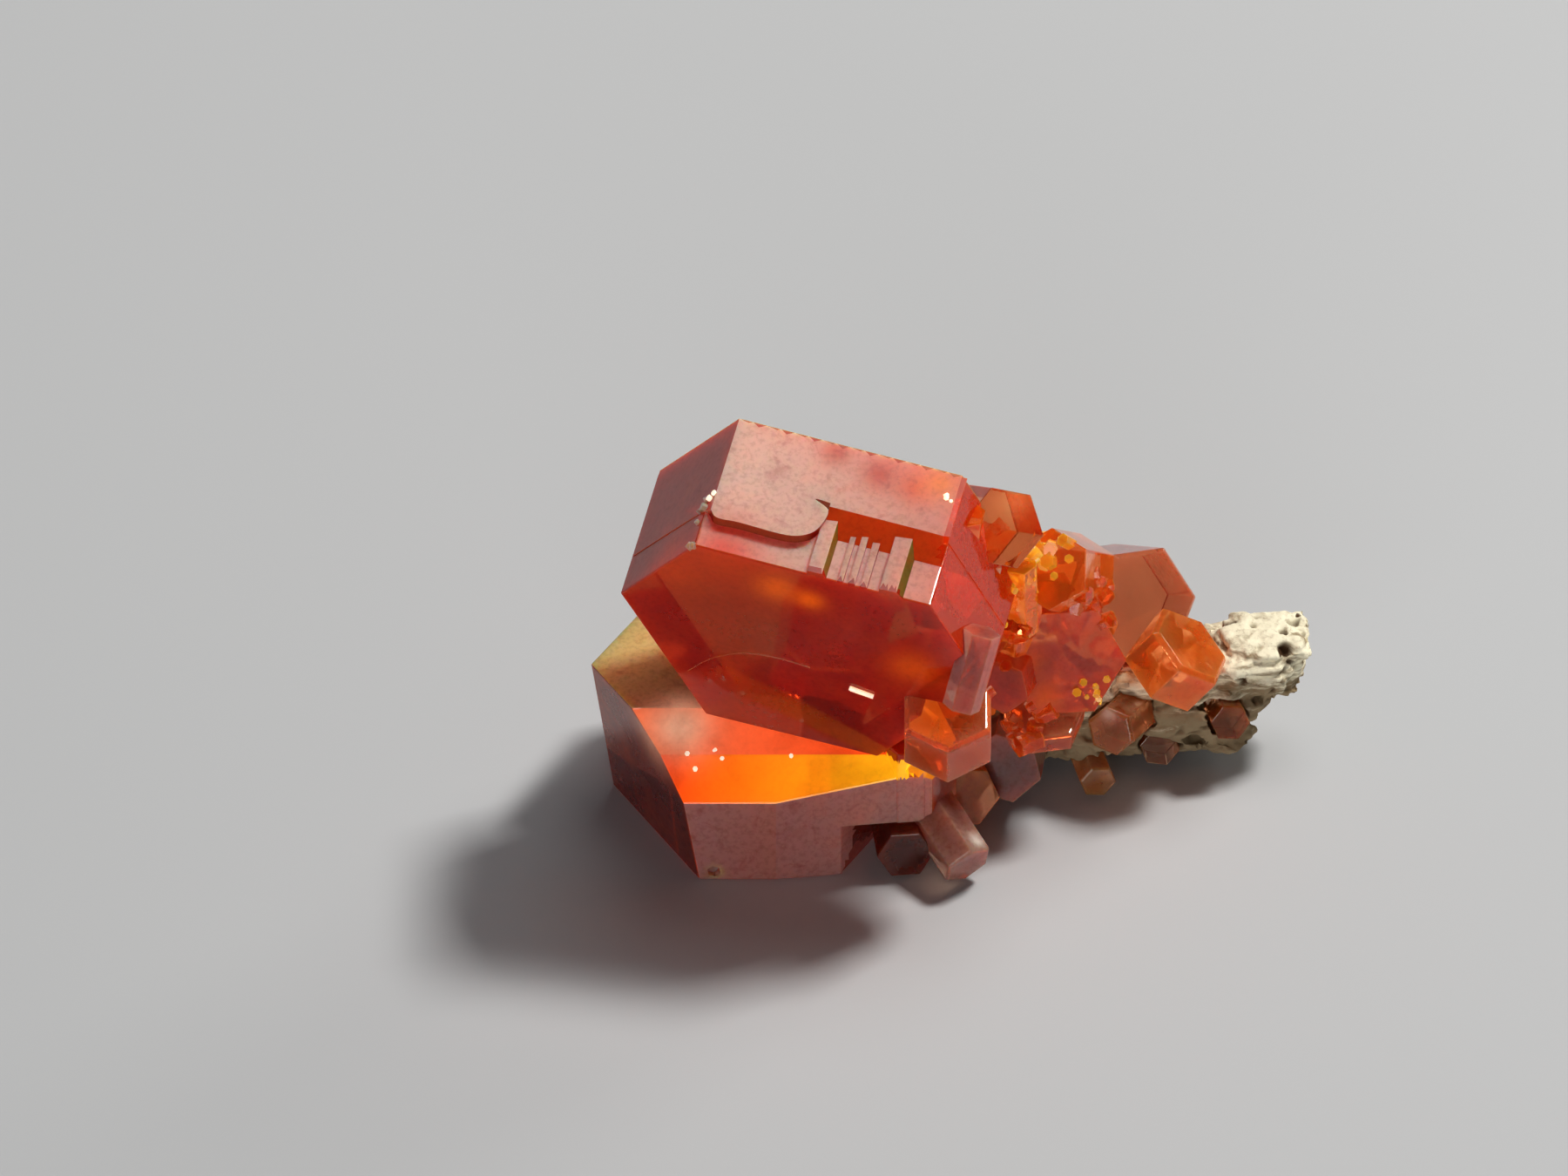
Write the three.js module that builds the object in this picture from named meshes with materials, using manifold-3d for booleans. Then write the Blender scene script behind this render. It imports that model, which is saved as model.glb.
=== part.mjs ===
// Vanadinite on matrix: a thumbnail mineral specimen about 12 mm long.
// Two large intergrown vanadinite crystals, a thick tablet leaning over an upright prism, carry a
// crust of smaller crystals towards the right, and that crust grows from a stub of pale, layered rock.
// Millimetres, +Z up, +X along the specimen from the large crystals to the bare rock, -Y to the front.
import * as THREE from "three";
import { ConvexGeometry } from "three/addons/geometries/ConvexGeometry.js";
import { ImprovedNoise } from "three/addons/math/ImprovedNoise.js";
import { mergeVertices } from "three/addons/utils/BufferGeometryUtils.js";
import Module from "manifold-3d";

const wasm = await Module();
wasm.setup();

// Driving dimensions.
const seatGap = 0.04; // between a crystal and the rock that it is seated in
const sixth = 60; // degrees between neighbouring prism faces of a hexagonal crystal
const sameCorner = 1e-4; // corners closer than this are one
const sink = 0.2; // how far a raised growth layer is carried down into its crystal

// A crystal is given by the middle of its free end face (head), the way its long axis points out of
// that face (heading around Z from +X, rise above level), its turn about that axis, the distance of its
// six prism faces from the axis (sides) and its length back from the head.
// Bevels are pyramid faces on the rim of the head; tapers lean a prism face inwards towards the head.

// The thick tablet: its six-sided end face looks to the front.
const tablet = {
  head: [0.1, -7.9, 4.9],
  heading: -105,
  rise: -17,
  turn: 9,
  sides: [2.3, 3.06, 2.75, 3.3, 2.38, 2.72],
  length: 2.5,
};

// The back of the tablet stands higher than its front, with a wavy growth step between the two.
const tabletStep = 0.2;
const tabletStepSides = [tabletStep, 0.015, -0.05, -0.05, -0.05, 0.015];
const tabletStepLength = 0.03;
const tabletStepEdge = [
  [-3.2, 0.75],
  [-1.9, 0.72],
  [-1.6, 0.52],
  [-1.2, 0.53],
  [-0.4, 0.52],
  [-0.05, 0.65],
  [0.1, 0.87],
  [0.15, 1.2],
  [-0.1, 1.36],
  [0.6, 1.3],
  [3.4, 1.25],
];
const tabletBlade = { from: [1.1, -0.72], to: [1.5, -0.78], width: 0.09, height: 0.05 };
const tabletSlope = { from: 0.15, to: 2.2, foot: 0.8, brow: 1.28 };

// Ribs on the front of the tablet, as start, width and height along its upper edge.
const tabletRibs = [
  [0.1, 0.3, 0.05],
  [0.42, 0.22, 0.09],
  [0.68, 0.34, 0.05],
  [1.05, 0.2, 0.08],
  [1.28, 0.26, 0.06],
  [1.62, 0.3, 0.1],
];
const tabletRibCrest = 0.3; // where the crest of a rib stands in its width

// The upright prism under it, with pyramid faces on its front and right edges and a leaning left face.
const prism = {
  head: [-0.45, -5.5, 2.72],
  heading: 90,
  rise: 90,
  sides: [2.44, 2.44, 2.4, 2.2, 2.2, 3.6],
  tapers: { 1: 8, 2: 5 },
  flats: [{ around: -7, distance: 2.46 }],
  bevels: [
    { side: 0, run: 1.21, drop: 0.73 },
    { side: 0, run: 0.82, drop: 1.09 },
    { side: 5, run: 1.33, drop: 0.83 },
  ],
  length: 2.72,
};

// The lower right of the prism did not grow, so its upper part overhangs there as a shelf.
const prismUndercut = {
  head: [2.9, -7.43, 1.02],
  heading: 90,
  rise: 90,
  sides: [3, 3, 1.5, 3, 3, 3],
  length: 3,
};
const prismBlock = {
  head: [1.95, -7.2, 2.5],
  heading: 90,
  rise: 90,
  turn: -7,
  sides: [0.5, 0.35, 0.5, 0.6, 0.6, 0.55],
  length: 1.48,
};

// Small sharp-sided hollows: one in the shelf block, one near the lower left edge of the prism.
const prismHollows = [
  { head: [2.19, -8.2, 2.12], heading: -90, rise: 0, turn: 8, sides: 0.14, length: 0.75 },
  { head: [-1.13, -8.2, 0.2], heading: -80, rise: 5, turn: 20, sides: 0.1, length: 0.4 },
];

// Smaller crystals that overlap each other and the two large ones.
const crustCrystals = [
  { head: [3.66, -6.8, 6.58], heading: -65, rise: 32, turn: 25, sides: 0.62, length: 1.9 },
  { head: [4.44, -6.2, 5.25], heading: -109, rise: 39, turn: 20, sides: 0.6, length: 2.0 },
  { head: [3.8, -6.0, 5.1], heading: 22, rise: 87, turn: 10, sides: 0.5, length: 1.9 },
  { head: [3.28, -8.6, 5.82], heading: 48, rise: 68, turn: 20, sides: 0.28, length: 1.4 },
  { head: [2.72, -8.46, 4.05], heading: -90, rise: 72, turn: 30, sides: 0.72, length: 0.95 },
  { head: [4.72, -6.35, 3.38], heading: -78, rise: 17, turn: 5, sides: 0.9, length: 1.8 },
  {
    head: [6.1, -4.4, 3.25],
    heading: -58,
    rise: 31,
    turn: 12,
    sides: [0.78, 0.78, 0.9, 1.2, 1.1, 0.84],
    length: 1.8,
  },
  { head: [6.86, -5.1, 2.8], heading: -6, rise: 53, turn: 10, sides: 0.7, length: 0.85 },
  { head: [4.38, -6.3, 2.35], heading: -79, rise: 75, turn: 0, sides: 0.6, length: 0.4 },
  { head: [3.7, -6.5, 1.24], heading: -96, rise: 14, turn: 15, sides: 0.56, length: 1.5 },
  { head: [3.6, -6.9, 3.3], heading: -107, rise: 9, turn: 15, sides: 0.45, length: 1.5 },
  { head: [3.09, -8.2, 0.51], heading: -58, rise: -20, turn: 25, sides: 0.4, length: 1.4 },
  { head: [2.04, -7.9, 0.5], heading: -84, rise: 3, turn: 0, sides: 0.42, length: 1.4 },
  { head: [3.07, -6.9, 0.94], heading: -78, rise: 14, turn: 10, sides: 0.5, length: 1.2 },
];

// Crystals on the back, which grow from the large ones and over the rock.
const backCrystals = [
  { head: [1.3, -3.5, 4.0], heading: 80, rise: 25, turn: 10, sides: 0.85, length: 2.4 },
  { head: [2.5, -3.5, 2.6], heading: 100, rise: 8, turn: 20, sides: 0.75, length: 2.4 },
  { head: [3.5, -3.6, 3.9], heading: 75, rise: 35, turn: 5, sides: 0.6, length: 2.0 },
  { head: [4.9, -3.4, 2.9], heading: 95, rise: 30, turn: 15, sides: 0.58, length: 1.6 },
  { head: [3.5, -3.4, 1.12], heading: 85, rise: -4, turn: 0, sides: 0.64, length: 1.8 },
];

// Single crystals seated in the rock.
const singleTurn = 10;
const singleCrystals = {
  bright_crystal: { head: [5.49, -5.9, 1.55], heading: -112, rise: 18, sides: 0.38, length: 1.1 },
  low_crystal: { head: [5.3, -5.85, 0.42], heading: -78, rise: 4, sides: 0.28, length: 0.8 },
  brown_crystal_left: { head: [6.35, -5.1, 0.56], heading: -87, rise: 14, sides: 0.3, length: 0.8 },
  brown_crystal_right: { head: [7.53, -5.35, 1.3], heading: -78, rise: 14, sides: 0.3, length: 0.8 },
  back_crystal: { head: [6.4, -3.2, 1.6], heading: 80, rise: 20, sides: 0.4, length: 1.0 },
};

// The rock is four lumps run together: the hidden root, the middle, the bare tip and the thin ledge on it.
const rockLumps = [
  { centre: [4.3, -4.6, 1.55], radii: [1.5, 1.0, 1.2], seed: 3.1 },
  { centre: [6.4, -4.3, 1.1], radii: [1.62, 0.85, 0.85], seed: 7.7 },
  { centre: [7.85, -4.2, 1.72], radii: [0.92, 0.75, 0.5], seed: 11.3 },
  { centre: [8.15, -4.1, 2.17], radii: [0.7, 0.6, 0.17], seed: 5.2 },
];
const rockPits = [
  { centre: [7.2, -5.0, 1.45], radii: [0.3, 0.3, 0.14] },
  { centre: [8.2, -4.85, 1.1], radii: [0.25, 0.25, 0.2] },
  { centre: [6.9, -5.05, 0.75], radii: [0.22, 0.3, 0.16] },
  { centre: [7.7, -3.4, 1.2], radii: [0.35, 0.25, 0.2] },
];
const rockBoxiness = 0.68; // 1 leaves a lump round, less makes it blockier
const rockSwells = { scale: 1.6, amount: 0.2 };
const rockBumps = { scale: 4.5, amount: 0.13 };
const rockLayers = { scale: 4, level: 0.5, amountAlong: 0.12, amountAcross: 0.2 };
const rockFineness = 8;
const pitFineness = 2;

function radians(degrees) {
  return THREE.MathUtils.degToRad(degrees);
}

// The long axis of a crystal and two directions square to it.
function crystalAxes({ heading, rise }) {
  const h = radians(heading);
  const r = radians(rise);
  const axis = new THREE.Vector3(Math.cos(r) * Math.cos(h), Math.cos(r) * Math.sin(h), Math.sin(r));
  const sideways = new THREE.Vector3(-Math.sin(h), Math.cos(h), 0);
  const upward = new THREE.Vector3().crossVectors(axis, sideways);
  return { axis, sideways, upward };
}

// Outward direction of prism face number side, leaning over by its taper.
function sideNormal(crystal, side, taper = 0) {
  const { axis, sideways, upward } = crystalAxes(crystal);
  const around = radians((crystal.turn ?? 0) + sixth * side);
  const flat = upward.multiplyScalar(Math.cos(around)).addScaledVector(sideways, Math.sin(around));
  const lean = radians(taper);
  return flat.multiplyScalar(Math.cos(lean)).addScaledVector(axis, -Math.sin(lean));
}

// Every face of a crystal as an outward normal and its reach from the origin.
function crystalFaces(crystal, grow) {
  const { axis } = crystalAxes(crystal);
  const head = new THREE.Vector3(...crystal.head);
  const faces = [];
  const addFace = (normal, point) => faces.push({ normal, reach: normal.dot(point) + grow });
  addFace(axis.clone(), head);
  addFace(axis.clone().negate(), head.clone().addScaledVector(axis, -crystal.length));
  for (let side = 0; side < 6; side++) {
    const flat = sideNormal(crystal, side);
    const distance = crystal.sides[side] ?? crystal.sides;
    const rim = head.clone().addScaledVector(flat, distance);
    addFace(sideNormal(crystal, side, crystal.tapers?.[side]), rim);
    for (const bevel of (crystal.bevels ?? []).filter((b) => b.side === side)) {
      const slope = flat.clone().multiplyScalar(bevel.drop).addScaledVector(axis, bevel.run).normalize();
      addFace(slope, rim.clone().addScaledVector(flat, -bevel.run));
    }
  }
  for (const { around, distance } of crystal.flats ?? []) {
    const flat = sideNormal(crystal, around / sixth);
    addFace(flat, head.clone().addScaledVector(flat, distance));
  }
  return faces;
}

// The corners where three faces meet and no other face cuts them off.
function cornersOf(faces) {
  const corners = [];
  faces.forEach((a, i) =>
    faces.slice(i + 1).forEach((b, j) =>
      faces.slice(i + j + 2).forEach((c) => {
        const bc = new THREE.Vector3().crossVectors(b.normal, c.normal);
        const determinant = a.normal.dot(bc);
        if (Math.abs(determinant) < sameCorner) return;
        const corner = bc
          .multiplyScalar(a.reach)
          .add(new THREE.Vector3().crossVectors(c.normal, a.normal).multiplyScalar(b.reach))
          .add(new THREE.Vector3().crossVectors(a.normal, b.normal).multiplyScalar(c.reach))
          .divideScalar(determinant);
        if (faces.some((f) => f.normal.dot(corner) > f.reach + sameCorner)) return;
        if (corners.some((known) => known.distanceTo(corner) < sameCorner)) return;
        corners.push(corner);
      }),
    ),
  );
  return corners;
}

function solidFrom(geometry) {
  const bare = geometry.clone();
  bare.deleteAttribute("normal");
  bare.deleteAttribute("uv");
  const merged = mergeVertices(bare, sameCorner);
  return new wasm.Manifold(
    new wasm.Mesh({
      numProp: 3,
      vertProperties: merged.attributes.position.array,
      triVerts: new Uint32Array(merged.index.array),
    }),
  );
}

function crystalSolid(crystal, grow = 0) {
  return solidFrom(new ConvexGeometry(cornersOf(crystalFaces(crystal, grow))));
}

function joined(solids) {
  return solids.reduce((whole, next) => whole.add(next));
}

// Placement on prism face number side: x along the face, y back from the head, z out of the face.
function facePlacement(crystal, side) {
  const { axis } = crystalAxes(crystal);
  const out = sideNormal(crystal, side);
  const along = new THREE.Vector3().crossVectors(out, axis);
  const placement = new THREE.Matrix4().makeBasis(along, axis.clone().negate(), out);
  const origin = new THREE.Vector3(...crystal.head).addScaledVector(out, crystal.sides[side]);
  return placement.setPosition(origin);
}

// Placement on the head of a crystal: x and y along the end face, z out of it.
function headPlacement(crystal) {
  const { axis } = crystalAxes(crystal);
  const y = sideNormal(crystal, 0);
  const x = new THREE.Vector3().crossVectors(y, axis);
  return new THREE.Matrix4().makeBasis(x, y, axis).setPosition(...crystal.head);
}

function hullOn(placement, points) {
  const placed = points.map((point) => new THREE.Vector3(...point).applyMatrix4(placement));
  return solidFrom(new ConvexGeometry(placed));
}

// The tablet with its raised back, the slope at the right of the step and the flutes in front of it.
function tabletSolid() {
  const topFace = facePlacement(tablet, 0);
  const back = tablet.length + sink;
  const outline = new THREE.Shape();
  outline.moveTo(...tabletStepEdge[0]);
  outline.splineThru(tabletStepEdge.slice(1, -1).map(([x, y]) => new THREE.Vector2(x, y)));
  outline.lineTo(...tabletStepEdge.at(-1));
  outline.lineTo(tabletStepEdge.at(-1)[0], back);
  outline.lineTo(tabletStepEdge[0][0], back);
  const depth = 4 * tablet.sides[3];
  const block = new THREE.ExtrudeGeometry(outline, { depth, bevelEnabled: false, curveSegments: 2 });
  block.translate(0, 0, tabletStep + sink - depth);
  block.applyMatrix4(topFace);
  const sides = tablet.sides.map((distance, side) => distance + tabletStepSides[side]);
  const length = tablet.length + tabletStepLength;
  const raised = crystalSolid({ ...tablet, sides, length }).intersect(solidFrom(block));
  const { from, to, foot, brow } = tabletSlope;
  const slope = [from, to].flatMap((x) => [
    [x, foot, 0],
    [x, brow, tabletStep],
    [x, back - sink, tabletStep],
    [x, foot, -sink],
    [x, back - sink, -sink],
  ]);
  const ribs = tabletRibs.map(([start, width, height]) =>
    hullOn(
      topFace,
      [0, brow].flatMap((y) => [
        [start, y, -sink],
        [start + width, y, -sink],
        [start + width * tabletRibCrest, y, height],
      ]),
    ),
  );
  const blade = [tabletBlade.from, tabletBlade.to].flatMap(([x, y]) => [
    [x, y, -sink],
    [x, y, tabletBlade.height],
    [x, y + tabletBlade.width, -sink],
  ]);
  const onTop = [raised, hullOn(topFace, slope), ...ribs];
  return joined([crystalSolid(tablet), ...onTop, hullOn(headPlacement(tablet), blade)]);
}

function prismSolid(grow = 0) {
  return crystalSolid(prism, grow).subtract(crystalSolid(prismUndercut, -grow));
}

// One rock lump: a ball pulled to its radii and roughened into ledges and hollows.
function rockLump({ centre, radii, seed }) {
  const noise = new ImprovedNoise();
  const ball = new THREE.IcosahedronGeometry(1, rockFineness);
  const points = ball.attributes.position;
  const point = new THREE.Vector3();
  const size = new THREE.Vector3(...radii);
  const middle = new THREE.Vector3(...centre);
  for (let i = 0; i < points.count; i++) {
    point.fromBufferAttribute(points, i);
    const { x, y, z } = point;
    const swell = noise.noise(rockSwells.scale * x + seed, rockSwells.scale * y, rockSwells.scale * z);
    const bump = noise.noise(rockBumps.scale * x, rockBumps.scale * y + seed, rockBumps.scale * z);
    const layer = noise.noise(seed, rockLayers.level, rockLayers.scale * z);
    point.toArray().forEach((value, axis) => {
      point.setComponent(axis, Math.sign(value) * Math.abs(value) ** rockBoxiness);
    });
    point.multiplyScalar(1 + rockSwells.amount * swell + rockBumps.amount * bump);
    point.x *= 1 + rockLayers.amountAlong * layer;
    point.y *= 1 + rockLayers.amountAcross * layer;
    point.multiply(size).add(middle);
    points.setXYZ(i, ...point);
  }
  return solidFrom(ball);
}

function pitSolid({ centre, radii }) {
  const ball = new THREE.IcosahedronGeometry(1, pitFineness);
  return solidFrom(ball.scale(...radii).translate(...centre));
}

function meshFrom(solid, name, material) {
  const { vertProperties, triVerts } = solid.getMesh();
  const geometry = new THREE.BufferGeometry()
    .setAttribute("position", new THREE.BufferAttribute(vertProperties, 3))
    .setIndex(new THREE.BufferAttribute(triVerts, 1))
    .toNonIndexed();
  geometry.computeVertexNormals();
  const mesh = new THREE.Mesh(geometry, material);
  mesh.name = name;
  return mesh;
}

const redCrystal = new THREE.MeshStandardMaterial({ color: 0xa8321a, roughness: 0.12, metalness: 0 });
const brownCrystal = new THREE.MeshStandardMaterial({ color: 0x8a4a1c, roughness: 0.2, metalness: 0 });
const paleRock = new THREE.MeshStandardMaterial({ color: 0xcfc3a4, roughness: 0.9, metalness: 0 });

const grownTogether = [prismBlock, ...crustCrystals, ...backCrystals];
const cluster = prismHollows.reduce(
  (left, hollow) => left.subtract(crystalSolid(hollow)),
  joined([tabletSolid(), prismSolid(), ...grownTogether.map((crystal) => crystalSolid(crystal))]),
);
const singles = Object.entries(singleCrystals).map(([name, crystal]) => {
  return { name, turn: singleTurn, ...crystal };
});
const seated = [tablet, ...grownTogether, ...singles];
const seats = [prismSolid(seatGap), ...seated.map((crystal) => crystalSolid(crystal, seatGap))];
const rock = [...seats, ...rockPits.map(pitSolid)].reduce(
  (left, hollow) => left.subtract(hollow),
  joined(rockLumps.map(rockLump)),
);

const specimen = new THREE.Group();
specimen.add(meshFrom(cluster, "crystal_cluster", redCrystal));
specimen.add(meshFrom(rock, "matrix", paleRock));
for (const single of singles) {
  specimen.add(meshFrom(crystalSolid(single), single.name, brownCrystal));
}

// The origin is under the middle of the specimen, on the surface that it stands on.
const extent = new THREE.Box3().setFromObject(specimen);
const middle = extent.getCenter(new THREE.Vector3());
specimen.position.set(-middle.x, -middle.y, -extent.min.z);

export default specimen;
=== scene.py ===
import math

import bmesh
import bpy
import numpy as np
from mathutils import Matrix, Vector, noise
from mathutils.bvhtree import BVHTree


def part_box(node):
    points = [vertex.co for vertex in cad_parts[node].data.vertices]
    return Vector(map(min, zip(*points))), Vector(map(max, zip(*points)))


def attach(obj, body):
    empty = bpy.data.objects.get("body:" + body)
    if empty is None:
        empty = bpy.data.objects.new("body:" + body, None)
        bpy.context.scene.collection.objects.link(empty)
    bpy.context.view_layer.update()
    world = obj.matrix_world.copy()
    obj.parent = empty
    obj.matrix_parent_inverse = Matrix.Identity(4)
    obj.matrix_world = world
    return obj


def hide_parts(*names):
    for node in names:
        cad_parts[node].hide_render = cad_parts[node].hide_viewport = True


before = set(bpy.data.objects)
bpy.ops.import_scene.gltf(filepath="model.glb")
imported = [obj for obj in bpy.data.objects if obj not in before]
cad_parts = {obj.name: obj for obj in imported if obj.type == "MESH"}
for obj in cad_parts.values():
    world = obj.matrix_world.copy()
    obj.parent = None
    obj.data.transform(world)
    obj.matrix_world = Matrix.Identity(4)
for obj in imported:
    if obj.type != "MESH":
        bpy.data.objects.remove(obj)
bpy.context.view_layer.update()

mm = 0.001


# Crystal shapes. Each one is worked out in millimetres from its faces:
# head is the middle of the free end, heading and rise point the long axis out of it,
# sides are the distances of the six prism faces, rim is the width of the small pyramid faces.
tablet = dict(head=(0.1, -7.9, 4.9), heading=-105, rise=-17, turn=9,
              sides=(2.3, 3.06, 2.75, 3.3, 2.38, 2.72), length=2.5)
tabletLook = dict(step=0.2, stepSides=(0.2, 0.015, -0.05, -0.05, -0.05, 0.015), stepLength=0.03, sink=0.2,
                  edge=((-3.2, 0.75), (-1.9, 0.72), (-1.6, 0.52), (-1.2, 0.53), (-0.4, 0.52), (-0.05, 0.65),
                        (0.1, 0.87), (0.15, 1.2), (-0.1, 1.36), (0.6, 1.3), (3.4, 1.25)),
                  edgeSteps=6, ribLean=0.9,
                  ribs=((0.10, 0.25, 0.21, 0.12), (0.62, 0.09, 0.05, 0.05), (0.80, 0.11, 0.05, 0.07),
                        (1.00, 0.12, 0.06, 0.05), (1.33, 0.29, 0.30, 0.13)),
                  slope=dict(start=0.15, end=2.2, foot=0.8, brow=1.28),
                  blade=dict(start=(1.1, -0.72), end=(1.5, -0.78), width=0.09, height=0.05),
                  needle=dict(ends=((1.08, -0.66), (1.5, -0.74)), width=0.035, lift=0.03),
                  growthLine=((-1.65, -1.42), (-1.31, -0.9), (-0.82, -0.49), (-0.23, -0.35), (0.38, -0.39)),
                  growthWidth=0.05, growthHeight=0.022)
prism = dict(head=(-0.45, -5.5, 2.72), heading=90, rise=90, turn=0,
             sides=(2.44, 2.44, 2.4, 2.2, 2.2, 3.6), length=2.72, tapers={1: 8, 2: 5}, flats=((-7, 2.46),),
             bevels=((0, 1.21, 0.73), (0, 0.82, 1.09), (5, 1.33, 0.83)))
prismUndercut = dict(head=(2.9, -7.43, 1.02), heading=90, rise=90, turn=0, sides=(3, 3, 1.5, 3, 3, 3), length=3)
prismBlock = dict(head=(1.95, -7.2, 2.5), heading=90, rise=90, turn=-7,
                  sides=(0.5, 0.35, 0.5, 0.6, 0.6, 0.55), length=1.48)
prismHollows = (
    dict(head=(2.19, -8.2, 2.12), heading=-90, rise=0, turn=8, sides=0.14, length=0.75),
    dict(head=(-1.13, -8.2, 0.2), heading=-80, rise=5, turn=20, sides=0.1, length=0.4),
)
crust = dict(
    shoulder=dict(head=(3.66, -6.8, 6.58), heading=-65, rise=32, turn=25, sides=0.62, length=1.9),
    glitter=dict(head=(4.44, -6.2, 5.25), heading=-109, rise=39, turn=20, sides=0.6, length=2.0),
    upright=dict(head=(3.8, -6.0, 5.1), heading=22, rise=87, turn=10, sides=0.5, length=1.9),
    slender=dict(head=(3.28, -8.6, 5.82), heading=48, rise=68, turn=20, sides=0.28, length=1.4),
    cup=dict(head=(2.72, -8.46, 4.05), heading=-90, rise=72, turn=30, sides=0.72, length=0.95, rim=0.07),
    rose=dict(head=(4.72, -6.35, 3.38), heading=-78, rise=17, turn=5, sides=0.9, length=1.8),
    tall=dict(head=(6.1, -4.4, 3.25), heading=-58, rise=31, turn=12,
              sides=(0.78, 0.78, 0.9, 1.2, 1.1, 0.84), length=1.8, rim=0.06),
    amber=dict(head=(6.86, -5.1, 2.8), heading=-6, rise=53, turn=10, sides=0.7, length=0.85, rim=0.08),
    dish=dict(head=(4.38, -6.3, 2.35), heading=-79, rise=75, turn=0, sides=0.6, length=0.4, rim=0.05),
    grey=dict(head=(3.7, -6.5, 1.24), heading=-96, rise=14, turn=15, sides=0.56, length=1.5),
    wedge=dict(head=(3.6, -6.9, 3.3), heading=-107, rise=9, turn=15, sides=0.45, length=1.5),
    foot=dict(head=(3.09, -8.2, 0.51), heading=-58, rise=-20, turn=25, sides=0.4, length=1.4, rim=0.04),
    stub=dict(head=(2.04, -7.9, 0.5), heading=-84, rise=3, turn=0, sides=0.42, length=1.4),
    under=dict(head=(3.07, -6.9, 0.94), heading=-78, rise=14, turn=10, sides=0.5, length=1.2),
    backHigh=dict(head=(1.3, -3.5, 4.0), heading=80, rise=25, turn=10, sides=0.85, length=2.4, rim=0.06),
    backLow=dict(head=(2.5, -3.5, 2.6), heading=100, rise=8, turn=20, sides=0.75, length=2.4, rim=0.05),
    backTop=dict(head=(3.5, -3.6, 3.9), heading=75, rise=35, turn=5, sides=0.6, length=2.0),
    backEnd=dict(head=(4.9, -3.4, 2.9), heading=95, rise=30, turn=15, sides=0.58, length=1.6, rim=0.04),
    backFoot=dict(head=(3.5, -3.4, 1.12), heading=85, rise=-4, turn=0, sides=0.64, length=1.8),
)
spires = dict(
    spire=dict(head=(3.02, -7.0, 7.05), heading=-60, rise=80, turn=12, sides=0.29, length=1.9),
    spireThin=dict(head=(3.47, -6.95, 5.95), heading=40, rise=76, turn=40, sides=0.15, length=1.3),
    spireGold=dict(head=(3.92, -6.65, 5.75), heading=-100, rise=82, turn=5, sides=0.26, length=1.6),
)
druse = (  # groups of tiny crystals on the larger ones
    dict(middle=(4.40, -6.15, 5.5), spread=0.5, count=30, widths=(0.03, 0.12), paint="grain"),
    dict(middle=(3.7, -6.8, 5.3), spread=0.6, count=12, widths=(0.03, 0.06), paint="grain"),
    dict(middle=(5.15, -6.35, 2.75), spread=0.35, count=12, widths=(0.03, 0.07), paint="grain"),
    dict(middle=(-1.15, -7.94, 0.17), spread=0.02, count=1, widths=(0.06, 0.07), paint="pale"),
    dict(middle=(3.5, -6.9, 4.3), spread=0.7, count=18, widths=(0.08, 0.18), paint="garnet"),
    dict(middle=(5.2, -5.7, 4.3), spread=0.6, count=12, widths=(0.08, 0.16), paint="garnet"),
    dict(middle=(4.0, -6.7, 2.2), spread=0.6, count=14, widths=(0.08, 0.18), paint="garnet"),
    dict(middle=(3.0, -4.3, 4.2), spread=0.8, count=14, widths=(0.08, 0.2), paint="garnet"),
    dict(middle=(4.4, -4.2, 2.4), spread=0.7, count=12, widths=(0.07, 0.16), paint="grain"),
    # the glint groups are tiny crystals painted pale and glowing: painted highlights
    dict(middle=(-1.63, -7.44, 2.3), spread=0.02, count=1, widths=(0.035, 0.04), paint="glint"),
    dict(middle=(-1.2, -7.44, 2.3), spread=0.25, count=3, widths=(0.025, 0.04), paint="glint"),
    dict(middle=(0.13, -7.46, 2.28), spread=0.02, count=1, widths=(0.03, 0.04), paint="glint"),
    dict(middle=(2.68, -7.2, 7.57), spread=0.1, count=3, widths=(0.025, 0.045), paint="glint"),
    dict(middle=(-1.28, -7.44, 7.81), spread=0.06, count=2, widths=(0.03, 0.05), paint="glint"),
    dict(middle=(-1.75, -7.5, 7.8), spread=0.25, count=4, widths=(0.04, 0.08), paint="pale"),
    dict(middle=(-1.97, -8.2, 7.6), spread=0.15, count=3, widths=(0.04, 0.07), paint="pale"),
)
singles = dict(
    bright_crystal=dict(head=(5.49, -5.9, 1.55), heading=-112, rise=18, turn=10,
                        sides=0.38, length=1.1, rim=0.04),
    low_crystal=dict(head=(5.3, -5.85, 0.42), heading=-78, rise=4, turn=10, sides=0.28, length=0.8, rim=0.03),
    brown_crystal_left=dict(head=(6.35, -5.1, 0.56), heading=-87, rise=14, turn=10, sides=0.3, length=0.8),
    brown_crystal_right=dict(head=(7.53, -5.35, 1.3), heading=-78, rise=14, turn=10, sides=0.3, length=0.8),
    back_crystal=dict(head=(6.4, -3.2, 1.6), heading=80, rise=20, turn=10, sides=0.4, length=1.0, rim=0.04),
)
edgeRound = dict(width=0.028, smallWidth=0.018, segments=2, sharpAngle=18)


def crystalAxes(c):
    h, r = math.radians(c["heading"]), math.radians(c["rise"])
    axis = np.array((math.cos(r) * math.cos(h), math.cos(r) * math.sin(h), math.sin(r)))
    sideways = np.array((-math.sin(h), math.cos(h), 0.0))
    return axis, sideways, np.cross(axis, sideways)


def sideNormal(c, side, taper=0):
    axis, sideways, upward = crystalAxes(c)
    around, lean = math.radians(c["turn"] + 60 * side), math.radians(taper)
    flat = upward * math.cos(around) + sideways * math.sin(around)
    return flat * math.cos(lean) - axis * math.sin(lean)


def sideReach(c, side):
    return c["sides"][side] if isinstance(c["sides"], tuple) else c["sides"]


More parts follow.
